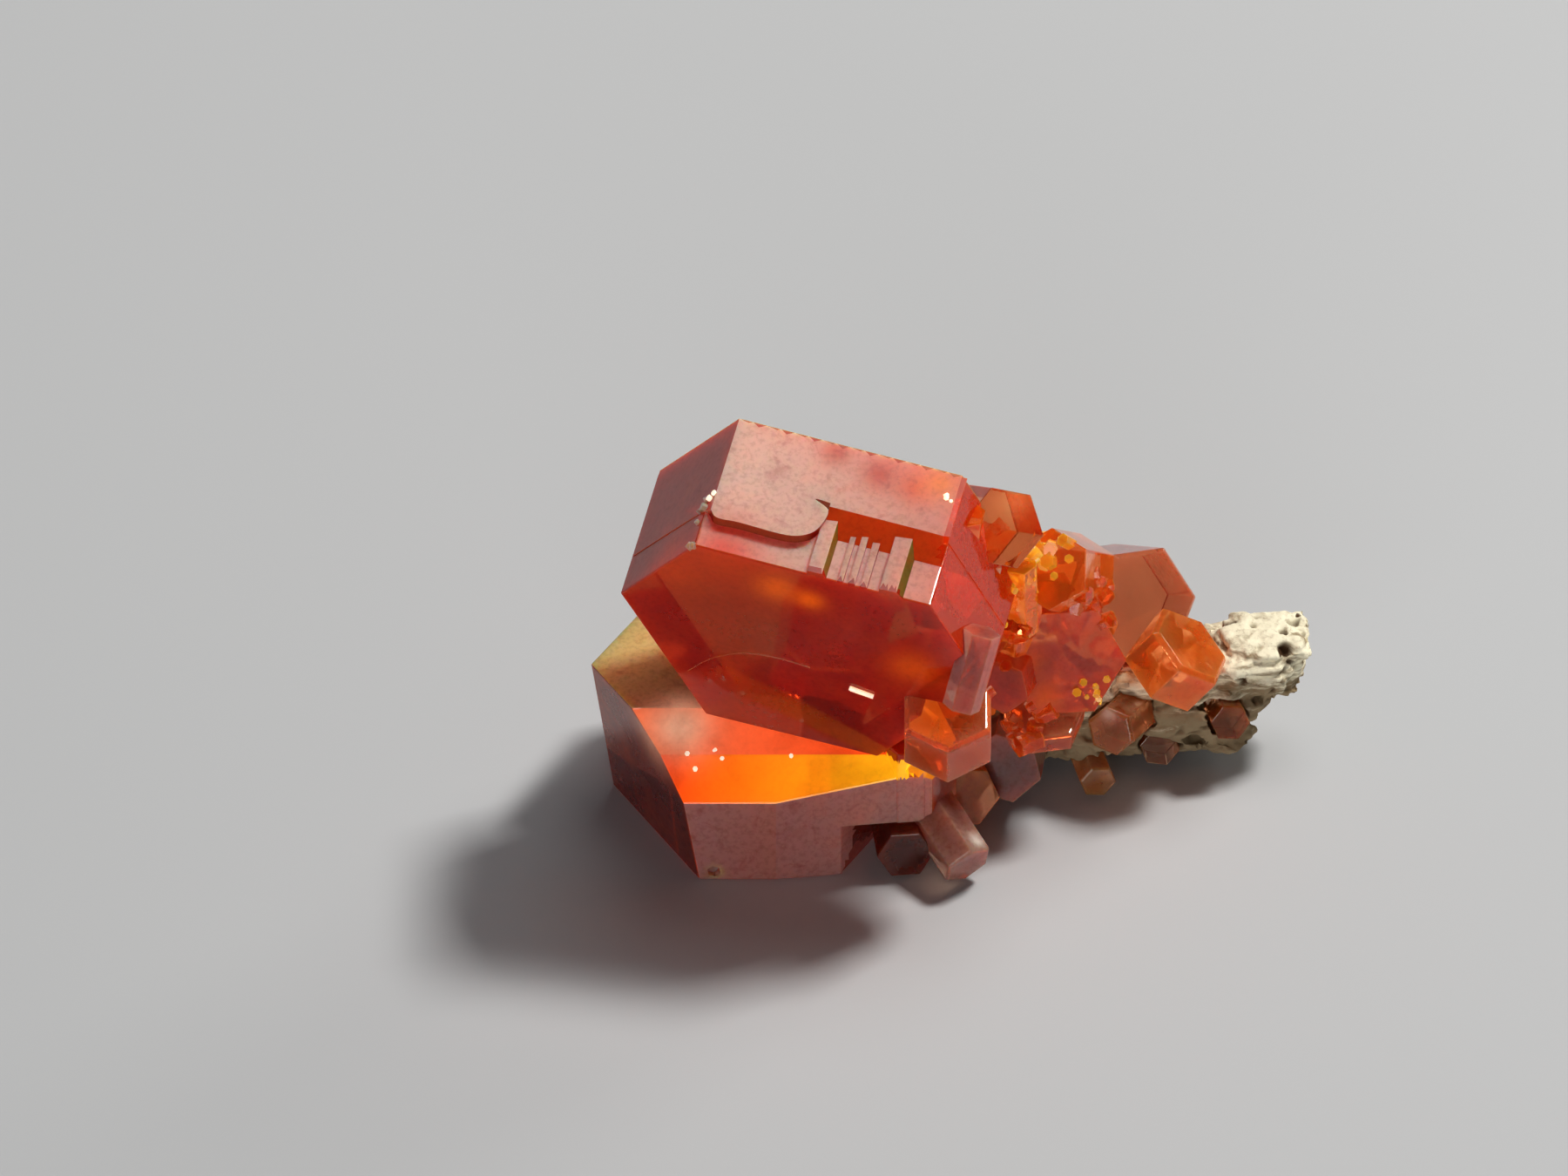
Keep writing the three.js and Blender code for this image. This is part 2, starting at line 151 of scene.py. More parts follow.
def crystalPlanes(c):  # the name, outward direction and reach of every face
    axis = crystalAxes(c)[0]
    head = np.array(c["head"])
    planes = [("head", axis, axis @ head), ("tail", -axis, -axis @ (head - axis * c["length"]))]
    for side in range(6):
        flat = sideNormal(c, side)
        edge = head + flat * sideReach(c, side)
        lean = sideNormal(c, side, c.get("tapers", {}).get(side, 0))
        planes.append((f"side{side}", lean, lean @ edge))
        if "rim" in c:  # a narrow pyramid face between the end and this side
            slope = (flat + axis) / math.sqrt(2)
            planes.append((f"rim{side}", slope, slope @ (edge - flat * c["rim"])))
    for number, (side, run, drop) in enumerate(c.get("bevels", ())):
        flat = sideNormal(c, side)
        slope = flat * drop + axis * run
        slope = slope / np.linalg.norm(slope)
        planes.append((f"bevel{number}", slope, slope @ (head + flat * (sideReach(c, side) - run))))
    for number, (around, distance) in enumerate(c.get("flats", ())):
        flat = sideNormal(c, around / 60)
        planes.append((f"flat{number}", flat, flat @ (head + flat * distance)))
    return planes


def planesMesh(planes, close=1e-6):  # a closed bmesh, one polygon for each face
    normals = np.array([n for _, n, _ in planes])
    reaches = np.array([r for _, _, r in planes])
    corners = []
    count = len(planes)
    for i in range(count):
        for j in range(i + 1, count):
            for k in range(j + 1, count):
                m = normals[[i, j, k]]
                if abs(np.linalg.det(m)) < 1e-5:
                    continue
                p = np.linalg.solve(m, reaches[[i, j, k]])
                if (normals @ p - reaches).max() > close:
                    continue
                if all(np.linalg.norm(p - q) > 1e-5 for q in corners):
                    corners.append(p)
    bm = bmesh.new()
    verts = [bm.verts.new(p) for p in corners]
    for _, n, r in planes:
        ring = [i for i, p in enumerate(corners) if abs(n @ p - r) < 1e-5]
        if len(ring) < 3:
            continue
        middle = np.mean([corners[i] for i in ring], axis=0)
        u = corners[ring[0]] - middle
        w = np.cross(n, u)
        ring.sort(key=lambda i: math.atan2((corners[i] - middle) @ w, (corners[i] - middle) @ u))
        bm.faces.new([verts[i] for i in ring])
    bmesh.ops.remove_doubles(bm, verts=bm.verts, dist=1e-5)
    bmesh.ops.recalc_face_normals(bm, faces=bm.faces)
    return bm


def roundEdges(bm, width):
    sharp = math.radians(edgeRound["sharpAngle"])
    edges = [e for e in bm.edges if len(e.link_faces) == 2 and e.calc_face_angle(0) > sharp and e.is_convex]
    bmesh.ops.bevel(bm, geom=edges, offset=width, offset_type="OFFSET", segments=edgeRound["segments"],
                    profile=0.5, affect="EDGES", clamp_overlap=True)
    return bm


def hullMesh(points):
    bm = bmesh.new()
    for p in points:
        bm.verts.new(p)
    made = bmesh.ops.convex_hull(bm, input=bm.verts)
    inner = [v for v in made["geom_interior"] if isinstance(v, bmesh.types.BMVert)]
    bmesh.ops.delete(bm, geom=inner, context="VERTS")
    bmesh.ops.dissolve_limit(bm, angle_limit=0.01, verts=bm.verts, edges=bm.edges)
    bmesh.ops.recalc_face_normals(bm, faces=bm.faces)
    return bm


def addObject(name, bm):
    mesh = bpy.data.meshes.new(name)
    bm.to_mesh(mesh)
    bm.free()
    piece = bpy.data.objects.new(name, mesh)
    bpy.context.scene.collection.objects.link(piece)
    return piece


def takeMesh(piece):  # the piece's mesh after its modifiers
    depsgraph = bpy.context.evaluated_depsgraph_get()
    mesh = bpy.data.meshes.new_from_object(piece.evaluated_get(depsgraph))
    piece.modifiers.clear()
    piece.data = mesh
    return piece


def combine(piece, others, operation):
    group = bpy.data.collections.new("combining")
    for other in others:
        group.objects.link(other)
    step = piece.modifiers.new("combine", "BOOLEAN")
    step.operation = operation
    step.solver = "MANIFOLD"
    step.operand_type = "COLLECTION"
    step.collection = group
    takeMesh(piece)
    for other in others:
        bpy.data.objects.remove(other)
    bpy.data.collections.remove(group)
    return piece


def crystalObject(name, c, width=None):
    bm = planesMesh(crystalPlanes(c))
    if width:
        roundEdges(bm, width)
    return addObject(name, bm)


def facePlacement(c, side):  # x along the face, y back from the head, z out of the face
    axis = crystalAxes(c)[0]
    out = sideNormal(c, side)
    origin = np.array(c["head"]) + out * sideReach(c, side)
    return np.cross(out, axis), -axis, out, origin


def headPlacement(c):
    axis = crystalAxes(c)[0]
    y = sideNormal(c, 0)
    return np.cross(y, axis), y, axis, np.array(c["head"])


def placed(placement, points):
    x, y, z, origin = placement
    return [origin + x * a + y * b + z * d for a, b, d in points]


def splineThrough(points, steps):  # a smooth line through all the points
    p = np.array(points, float)
    p = np.vstack((2 * p[0] - p[1], p, 2 * p[-1] - p[-2]))
    line = []
    for i in range(1, len(p) - 2):
        a, b, c, d = p[i - 1:i + 3]
        for t in np.linspace(0, 1, steps, endpoint=False):
            line.append(0.5 * (2 * b + (c - a) * t + (2 * a - 5 * b + 4 * c - d) * t * t
                               + (3 * b - a - 3 * c + d) * t ** 3))
    line.append(p[-2])
    return [tuple(q) for q in line]


def tabletPieces():
    look = tabletLook
    top = facePlacement(tablet, 0)
    back = tablet["length"] + look["sink"]
    edge = look["edge"]
    outline = splineThrough(edge[:-1], look["edgeSteps"]) + [edge[-1], (edge[-1][0], back), (edge[0][0], back)]
    bm = bmesh.new()
    depth = 4 * tablet["sides"][3]
    high = look["step"] + look["sink"]
    lower = [bm.verts.new(p) for p in placed(top, [(x, y, high - depth) for x, y in outline])]
    upper = [bm.verts.new(p) for p in placed(top, [(x, y, high) for x, y in outline])]
    bm.faces.new(lower)
    bm.faces.new(upper)
    for i in range(len(outline)):
        j = (i + 1) % len(outline)
        bm.faces.new((lower[i], lower[j], upper[j], upper[i]))
    bmesh.ops.recalc_face_normals(bm, faces=bm.faces)
    block = addObject("stepBlock", bm)
    sides = tuple(d + s for d, s in zip(tablet["sides"], look["stepSides"]))
    raised = dict(tablet, sides=sides, length=tablet["length"] + look["stepLength"])
    pieces = [combine(crystalObject("raisedBack", raised), [block], "INTERSECT")]
    s = look["slope"]
    slope = [(x, y, z) for x in (s["start"], s["end"]) for y, z in (
        (s["foot"], 0), (s["brow"], look["step"]), (back - look["sink"], look["step"]),
        (s["foot"], -look["sink"]), (back - look["sink"], -look["sink"]))]
    pieces.append(addObject("slope", hullMesh(placed(top, slope))))
    for start, strip, fall, height in look["ribs"]:
        rib = [p for y in (0, s["brow"]) for p in (
            (start, y, -look["sink"]), (start + strip + fall, y, -look["sink"]),
            (start, y, height * look["ribLean"]), (start + strip, y, height))]
        pieces.append(addObject("rib", hullMesh(placed(top, rib))))
    b = look["blade"]
    blade = [p for x, y in (b["start"], b["end"]) for p in (
        (x, y, -look["sink"]), (x, y, b["height"]), (x, y + b["width"], -look["sink"]))]
    pieces.append(addObject("blade", hullMesh(placed(headPlacement(tablet), blade))))
    line = splineThrough(look["growthLine"], 4)
    for start, end in zip(line, line[1:]):
        ridge = [(x, y + aside, z) for x, y in (start, end) for aside, z in (
            (-look["growthWidth"], -look["sink"]), (look["growthWidth"], -look["sink"]),
            (0, look["growthHeight"]))]
        pieces.append(addObject("growthLine", hullMesh(placed(headPlacement(tablet), ridge))))
    return pieces


# The place of the drawn crystals in the frame, from the box of one of them.
probe = planesMesh(crystalPlanes({k: v for k, v in singles["back_crystal"].items() if k != "rim"}))
probeLow = np.min([v.co for v in probe.verts], axis=0)
probe.free()
toFrame = np.array(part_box("back_crystal")[0]) - probeLow * mm


def settle(piece):  # from millimetres to the frame's metres
    piece.data.transform(Matrix.Translation(Vector(toFrame)) @ Matrix.Scale(mm, 4))
    return piece


def druseCrystals(body):  # tiny crystals that stand on the faces nearest to each group's middle
    chance = np.random.default_rng(7)
    surface = BVHTree.FromPolygons([v.co for v in body.data.vertices], [p.vertices for p in body.data.polygons])
    found = {}
    for number, group in enumerate(druse):
        for k in range(group["count"]):
            spot = np.array(group["middle"]) + chance.normal(0, group["spread"] / 2, 3)
            near, out, _, _ = surface.find_nearest(Vector(spot))
            lean = np.array(out) + chance.normal(0, 0.35, 3)
            lean = lean / np.linalg.norm(lean)
            width = chance.uniform(*group["widths"])
            height = width * chance.uniform(0.5, 1.6)
            found[f"{group['paint']}.{number}.{k}"] = dict(
                head=tuple(np.array(near) + lean * height), heading=math.degrees(math.atan2(lean[1], lean[0])),
                rise=math.degrees(math.asin(lean[2])), turn=chance.uniform(0, 60),
                sides=width, length=height + width)
    return found


def crystalCluster():
    w = edgeRound["width"]
    body = crystalObject("vanadiniteCluster", tablet, w)
    shelf = combine(crystalObject("shelf", prism), [crystalObject("cut", prismUndercut)], "DIFFERENCE")
    bm = bmesh.new()
    bm.from_mesh(shelf.data)
    roundEdges(bm, w)
    bm.to_mesh(shelf.data)
    bm.free()
    parts = [shelf, crystalObject("block", prismBlock, w)] + tabletPieces()
    parts += [crystalObject(name, c, edgeRound["smallWidth"]) for name, c in {**crust, **spires}.items()]
    combine(body, parts, "UNION")
    tiny = druseCrystals(body)
    # the needle is a thin crystal on the head painted as a glint, a painted highlight
    needle = tabletLook["needle"]
    start, end = placed(headPlacement(tablet), [(x, y, needle["lift"]) for x, y in needle["ends"]])
    lean = (end - start) / np.linalg.norm(end - start)
    tiny["glint.needle"] = dict(head=tuple(end), heading=math.degrees(math.atan2(lean[1], lean[0])),
                                rise=math.degrees(math.asin(lean[2])), turn=0, sides=needle["width"],
                                length=np.linalg.norm(end - start))
    combine(body, [crystalObject(name, c) for name, c in tiny.items()], "UNION")
    combine(body, [crystalObject("hollow", c) for c in prismHollows], "DIFFERENCE")
    settle(body)
    print("cluster:", len(body.data.polygons), "faces,", len(tiny), "tiny crystals")
    return body, tiny


class Sock:  # a node's output that can be used in sums
    def __init__(self, finish, socket):
        self.finish, self.socket = finish, socket

    def maths(self, operation, first, second):
        return self.finish.node("Math", {"operation": operation}, {0: first, 1: second})

    def __add__(self, other):
        return self.maths("ADD", self, other)

    def __radd__(self, other):
        return self.maths("ADD", other, self)

    def __sub__(self, other):
        return self.maths("SUBTRACT", self, other)

    def __rsub__(self, other):
        return self.maths("SUBTRACT", other, self)

    def __mul__(self, other):
        return self.maths("MULTIPLY", self, other)

    def __rmul__(self, other):
        return self.maths("MULTIPLY", other, self)

    def __pow__(self, other):
        return self.maths("POWER", self, other)

    def between(self, low, high):  # 0 at low, 1 at high, smooth on the way
        return self.finish.node("MapRange", {"interpolation_type": "SMOOTHSTEP"},
                                {"Value": self, "From Min": low, "From Max": high})


class Finish:  # one material and its nodes
    def __init__(self, name):
        self.material = bpy.data.materials.new(name)
        self.material.use_nodes = True
        self.tree = self.material.node_tree
        self.tree.nodes.clear()

    def node(self, kind, settings=None, sockets=None, out=0):
        made = self.tree.nodes.new("ShaderNode" + kind)
        for key, value in (settings or {}).items():
            setattr(made, key, value)
        for key, value in (sockets or {}).items():
            if isinstance(value, Sock):
                self.tree.links.new(value.socket, made.inputs[key])
            elif isinstance(value, tuple) and len(value) == 3 and made.inputs[key].type == "RGBA":
                made.inputs[key].default_value = (*value, 1.0)
            else:
                made.inputs[key].default_value = value
        return Sock(self, made.outputs[out]) if made.outputs else None

    def mix(self, amount, first, second, blend="MIX"):  # colours
        settings = {"data_type": "RGBA", "blend_type": blend}
        return self.node("Mix", settings, {0: amount, 6: first, 7: second}, out=2)

    def place(self, stretch=(1.0, 1.0, 1.0)):  # object coordinates in millimetres
        here = self.node("TexCoord", out=3)
        return self.node("Mapping", {}, {"Vector": here, "Scale": tuple(1000 * s for s in stretch)})

    def noise(self, where, scale, detail=4.0, roughness=0.55, distortion=0.0):
        return self.node("TexNoise", {}, {"Vector": where, "Scale": scale, "Detail": detail,
                                          "Roughness": roughness, "Distortion": distortion})

    def done(self, surface, volume=None):
        sockets = {"Surface": surface}
        if volume:
            sockets["Volume"] = volume
        self.node("OutputMaterial", {}, sockets)
        return self.material


# Finishes.
crystalLook = dict(ior=1.56, clearRoughness=0.02, clearTint=(1.0, 0.95, 0.9),
                   absorb=900.0, absorbColour=(0.935, 0.42, 0.0),
                   sheen=0.4, scatterReach=(1.0, 0.25, 0.1), scatterScale=0.0010)

# What each crystal is painted with: body is the middle of its faces, edge the colour beside its edges (the
# lighter tone of thin parts, and on the foot and spireThin a painted highlight), haze how milky it is, and glow
# a painted glow: how much of its colour is emitted, standing in for light gathered inside.
# A face of its own has left and right colours, a haze, a painted glow and a roughness.
# Breaks are the step, slope and strips on the top of the tablet: colour, haze and painted glow.
# Spots are soft patches: middle, reach, colour and painted glow; some are painted highlights, glows and
# reflections.
paints = dict(
    # tablet: the pale top (side0), lighter on the left, is a painted reflection of the overhead light; the
    # mauve of side5 and of the two large mauve head spots is a painted reflection of the floor; side1 and the
    # orange spots carry painted glow
    tablet=dict(body=(0.50, 0.030, 0.018), edge=(0.85, 0.07, 0.006), haze=0.45, glow=0.04, faces=dict(
        side0=((0.88, 0.60, 0.48), (0.70, 0.26, 0.18), 0.85, 0.0, 0.30),
        side5=((0.52, 0.10, 0.08), (0.55, 0.09, 0.065), 0.6, 0.03, 0.10),
        side1=((0.85, 0.06, 0.004), (0.85, 0.06, 0.004), 0.3, 0.22, 0.08)),
        breaks=dict(riser=((0.30, 0.010, 0.004), 0.6, 0.03), slope=((0.80, 0.10, 0.010), 0.5, 0.12),
                    fall=((0.26, 0.19, 0.03), 0.75, 0.0)),
        spots=(((-0.14, -8.35, 6.53), 0.38, (0.95, 0.16, 0.004), 0.25),
               ((0.43, -8.44, 6.33), 0.25, (1.0, 0.20, 0.004), 0.35),
               ((2.09, -8.45, 4.96), 0.45, (0.90, 0.15, 0.008), 0.20),
               ((-1.87, -7.93, 6.66), 0.6, (0.75, 0.05, 0.006), 0.12),
               ((-1.01, -8.31, 7.14), 0.7, (0.75, 0.05, 0.006), 0.12),
               ((0.0, -7.9, 4.99), 1.0, (0.42, 0.07, 0.06), 0.03),
               ((1.15, -8.39, 5.56), 0.7, (0.42, 0.07, 0.06), 0.03),
               ((1.59, -6.89, 7.77), 0.3, (0.62, 0.10, 0.05), 0.02),
               ((2.16, -7.09, 7.65), 0.35, (0.75, 0.14, 0.05), 0.04),
               ((2.59, -6.98, 7.66), 0.3, (0.85, 0.25, 0.05), 0.08),
               ((0.87, -6.53, 7.95), 0.25, (0.60, 0.16, 0.10), 0.0))),
    # prism: the tan head is a painted reflection of the room behind; the mauve front (side0, flat0) is a
    # painted reflection of the floor; the dark side1 is a painted reflection of the shaded floor; the bevels
    # carry painted glow, and the first spot is a painted highlight
    prism=dict(body=(0.36, 0.11, 0.09), edge=(0.70, 0.12, 0.03), haze=0.6, glow=0.03, faces=dict(
        head=((0.90, 0.58, 0.26), (0.80, 0.50, 0.22), 0.9, 0.0, 0.3),
        side0=((0.62, 0.34, 0.32), (0.66, 0.32, 0.27), 0.75, 0.03, 0.14),
        flat0=((0.62, 0.34, 0.32), (0.66, 0.32, 0.27), 0.75, 0.03, 0.14),
        side1=((0.15, 0.045, 0.045), (0.18, 0.05, 0.045), 0.7, 0.0, 0.12),
        bevel0=((1.0, 0.22, 0.09), (1.0, 0.09, 0.006), 0.35, 0.70, 0.06),
        bevel1=((0.85, 0.055, 0.004), (1.0, 0.52, 0.008), 0.45, 0.78, 0.06),
        bevel2=((1.0, 0.42, 0.02), (0.9, 0.30, 0.03), 0.35, 0.5, 0.06)),
        spots=(((-1.75, -7.02, 2.55), 0.5, (1.0, 0.55, 0.36), 0.55),
               ((-1.15, -7.94, 0.17), 0.1, (0.9, 0.65, 0.20), 0.1))),
    shoulder=dict(body=(0.70, 0.17, 0.02), edge=(0.40, 0.06, 0.025), haze=0.2, glow=0.05,
                  spots=(((3.83, -6.49, 6.91), 0.3, (0.95, 0.45, 0.18), 0.15),)),
    glitter=dict(body=(0.80, 0.22, 0.012), edge=(0.85, 0.22, 0.03), haze=0.2, glow=0.10),
    upright=dict(body=(0.85, 0.12, 0.005), edge=(0.95, 0.30, 0.01), haze=0.2, glow=0.08),
    spire=dict(body=(0.85, 0.07, 0.004), edge=(0.95, 0.20, 0.01), haze=0.3, glow=0.14),
    # spireThin: the pale edge colour is a painted highlight
    spireThin=dict(body=(0.60, 0.20, 0.17), edge=(0.95, 0.60, 0.50), haze=0.5, glow=0.05),
    spireGold=dict(body=(0.90, 0.20, 0.006), edge=(1.0, 0.45, 0.02), haze=0.25, glow=0.12),
    grain=dict(body=(1.0, 0.42, 0.02), edge=(1.0, 0.60, 0.06), haze=0.25, glow=0.20),
    garnet=dict(body=(0.50, 0.03, 0.006), edge=(0.85, 0.16, 0.01), haze=0.3, glow=0.06),
    # glint: pale emitting paint for painted highlights
    glint=dict(body=(1.0, 0.80, 0.55), edge=(1.0, 0.9, 0.75), haze=0.9, glow=0.6),
    pale=dict(body=(0.62, 0.36, 0.28), edge=(0.75, 0.5, 0.4), haze=0.7, glow=0.0),
    slender=dict(body=(0.45, 0.14, 0.12), edge=(0.75, 0.32, 0.25), haze=0.5, glow=0.03),
    cup=dict(body=(0.75, 0.15, 0.012), edge=(0.85, 0.40, 0.26), haze=0.22, glow=0.07),
    rose=dict(body=(0.66, 0.13, 0.085), edge=(0.80, 0.12, 0.008), haze=0.42, glow=0.03,
              spots=(((4.08, -6.46, 3.48), 0.28, (0.90, 0.14, 0.008), 0.15),
                     ((4.37, -6.59, 2.84), 0.3, (0.90, 0.16, 0.010), 0.15),
                     ((4.95, -5.98, 4.40), 0.3, (0.75, 0.35, 0.30), 0.05))),
    tall=dict(body=(0.42, 0.04, 0.02), edge=(0.75, 0.22, 0.12), haze=0.25, glow=0.03),
    amber=dict(body=(0.72, 0.16, 0.003), edge=(0.85, 0.34, 0.10), haze=0.3, glow=0.12),
    dish=dict(body=(0.45, 0.04, 0.01), edge=(0.75, 0.30, 0.16), haze=0.35, glow=0.06),
    # grey: its grey-purple colour is a painted reflection of the floor
    grey=dict(body=(0.30, 0.16, 0.15), edge=(0.40, 0.20, 0.17), haze=0.7, glow=0.0),
    wedge=dict(body=(0.50, 0.07, 0.04), edge=(0.75, 0.15, 0.04), haze=0.4, glow=0.05),
    # foot: the pale edge colour and the white spot are painted highlights
    foot=dict(body=(0.46, 0.22, 0.18), edge=(0.80, 0.55, 0.46), haze=0.4, glow=0.0,
              spots=(((3.25, -8.0, 0.95), 0.14, (1.0, 0.92, 0.80), 0.3),)),
    # stub: painted very dark as painted shade, the crystal lying in shade under the prism
    stub=dict(body=(0.14, 0.05, 0.04), edge=(0.24, 0.08, 0.06), haze=0.6, glow=0.0),
    under=dict(body=(0.45, 0.13, 0.02), edge=(0.6, 0.2, 0.03), haze=0.4, glow=0.03),
    backHigh=dict(body=(0.70, 0.10, 0.05), edge=(0.95, 0.22, 0.03), haze=0.4, glow=0.10),
    backLow=dict(body=(0.75, 0.16, 0.05), edge=(0.95, 0.28, 0.03), haze=0.4, glow=0.12),
    backTop=dict(body=(0.90, 0.26, 0.05), edge=(0.95, 0.38, 0.05), haze=0.35, glow=0.15),
    backEnd=dict(body=(0.85, 0.24, 0.04), edge=(0.95, 0.38, 0.05), haze=0.35, glow=0.15),
    backFoot=dict(body=(0.55, 0.15, 0.03), edge=(0.75, 0.22, 0.03), haze=0.4, glow=0.05),
    # bright_crystal: the white spot on its top is a painted highlight
    bright_crystal=dict(body=(0.48, 0.13, 0.010), edge=(0.70, 0.36, 0.18), haze=0.3, glow=0.04,
                        spots=(((5.40, -5.92, 1.90), 0.13, (1.0, 0.95, 0.88), 0.5),)),
    low_crystal=dict(body=(0.42, 0.13, 0.006), edge=(0.70, 0.40, 0.20), haze=0.3, glow=0.03),
    brown_crystal_left=dict(body=(0.26, 0.075, 0.003), edge=(0.34, 0.11, 0.01), haze=0.3, glow=0.02),
    brown_crystal_right=dict(body=(0.26, 0.075, 0.003), edge=(0.34, 0.11, 0.01), haze=0.3, glow=0.02),
    back_crystal=dict(body=(0.45, 0.14, 0.02), edge=(0.7, 0.26, 0.05), haze=0.45, glow=0.04),
)
paintEdge = 0.16  # mm, how far the edge colour reaches into a face
fineEdge = 0.16  # mm, the longest edge left on a painted crystal
edgeShare, ownEdgeShare = 0.7, 0.15  # how strong the edge colour is, and on a face of its own
plainRough = 0.08


def crystalFinish(name, look):
    f = Finish(name)
    f.material.cycles.emission_sampling = "NONE"
    where = f.place()
    tint = f.node("Attribute", {"attribute_name": "tint"})
    milk = f.node("Attribute", {"attribute_name": "tint"}, out=3)
    cloud = f.noise(where, 0.9, 5.0, 0.6, 0.4)
    veil = f.noise(where, 3.2, 4.0, 0.6, 0.8)
    body = f.mix(cloud.between(0.45, 0.75) * 0.35, tint, f.mix(0.5, tint, (1.0, 0.16, 0.012)))
    body = f.mix(veil.between(0.52, 0.75) * 0.5, body, f.mix(0.6, body, (0.36, 0.02, 0.010)))
    # painted glow: this colour is emitted by the crystal faces, standing in for light gathered inside; the
    # cloud dims it in places
    lit = f.node("Attribute", {"attribute_name": "glow"})
    lit = f.mix(cloud.between(0.40, 0.66) * 0.3, lit, (0.0, 0.0, 0.0))
    grain = f.noise(where, 11.0, 3.0, 0.6)
    body = f.mix(grain.between(0.42, 0.70) * 0.4, body, f.mix(1.0, body, (0.62, 0.52, 0.50), "MULTIPLY"))
    gloss = f.node("Attribute", {"attribute_name": "glow"}, out=3)
    waves = f.noise(where, 1.6, 3.0) * 0.5 + f.noise(f.place((1.0, 1.0, 6.0)), 4.0, 2.0) * 0.12
    relief = f.node("Bump", {}, {"Strength": 0.25, "Distance": 0.00002, "Height": waves})
    clear = f.node("BsdfPrincipled", {}, {
        "Base Color": look["clearTint"], "Roughness": look["clearRoughness"], "IOR": look["ior"],
        "Transmission Weight": 1.0, "Emission Color": lit, "Emission Strength": 1.0, "Normal": relief})
    milky = f.node("BsdfPrincipled", {}, {
        "Base Color": body, "Roughness": gloss, "IOR": look["ior"], "Specular IOR Level": look["sheen"],
        "Subsurface Weight": 1.0, "Subsurface Radius": look["scatterReach"],
        "Subsurface Scale": look["scatterScale"], "Emission Color": lit, "Emission Strength": 1.0,
        "Normal": relief})
    share = milk + (cloud - 0.5) * 0.25
    surface = f.node("MixShader", {}, {0: share, 1: clear, 2: milky})
    inside = f.node("VolumeAbsorption", {}, {"Color": look["absorbColour"], "Density": look["absorb"]})
    return f.done(surface, inside)


# The two heights at the end mark where the rock turns darker below: painted shade on its lower part; the dark
# colour also serves the darker layers
rockLook = dict(voxel=0.03, pale=(1.0, 0.93, 0.70), shade=(0.36, 0.27, 0.16), pit=(0.10, 0.05, 0.02),
                paintedShadeTop=2.0, stainLow=1.2)


def rockFinish():
    f = Finish("paleRock")
    where = f.place()
    layers = f.noise(f.place((0.7, 0.7, 4.0)), 2.2, 5.0, 0.65, 0.3)
    grains = f.noise(where, 9.0, 5.0, 0.7)
    deep = f.node("Attribute", {"attribute_name": "pit"}, out=2)
    height = f.node("SeparateXYZ", {}, {0: where}, out=2)
    # painted shade: the rock is painted darker towards the bottom, where it lies in shadow
    low = 1 - height.between(rockLook["stainLow"], rockLook["paintedShadeTop"])  # darker below
    colour = f.mix((layers + low * 0.3).between(0.46, 0.70), rockLook["pale"], rockLook["shade"])
    colour = f.mix(grains.between(0.5, 0.72) * 0.5, colour, (0.30, 0.19, 0.10))
    colour = f.mix(deep, colour, rockLook["pit"])
    relief = f.node("Bump", {}, {"Strength": 0.6, "Distance": 0.00003, "Height": grains})
    shader = f.node("BsdfPrincipled", {}, {"Base Color": colour, "Roughness": 0.85, "Normal": relief})
    return f.done(shader)


def floorFinish():
    f = Finish("studioFloor")
    shader = f.node("BsdfPrincipled", {}, {"Base Color": (0.57, 0.58, 0.59), "Roughness": 0.9})
    return f.done(shader)


def refine(piece, longest):  # splits long edges so that the paint can change across a face
    bm = bmesh.new()
    bm.from_mesh(piece.data)
    bmesh.ops.triangulate(bm, faces=bm.faces)
    for _ in range(7):
        edges = [e for e in bm.edges if e.calc_length() > longest * mm]
        if not edges:
            break
        bmesh.ops.subdivide_edges(bm, edges=edges, cuts=1)
        bmesh.ops.triangulate(bm, faces=bm.faces)
    bm.to_mesh(piece.data)
    bm.free()


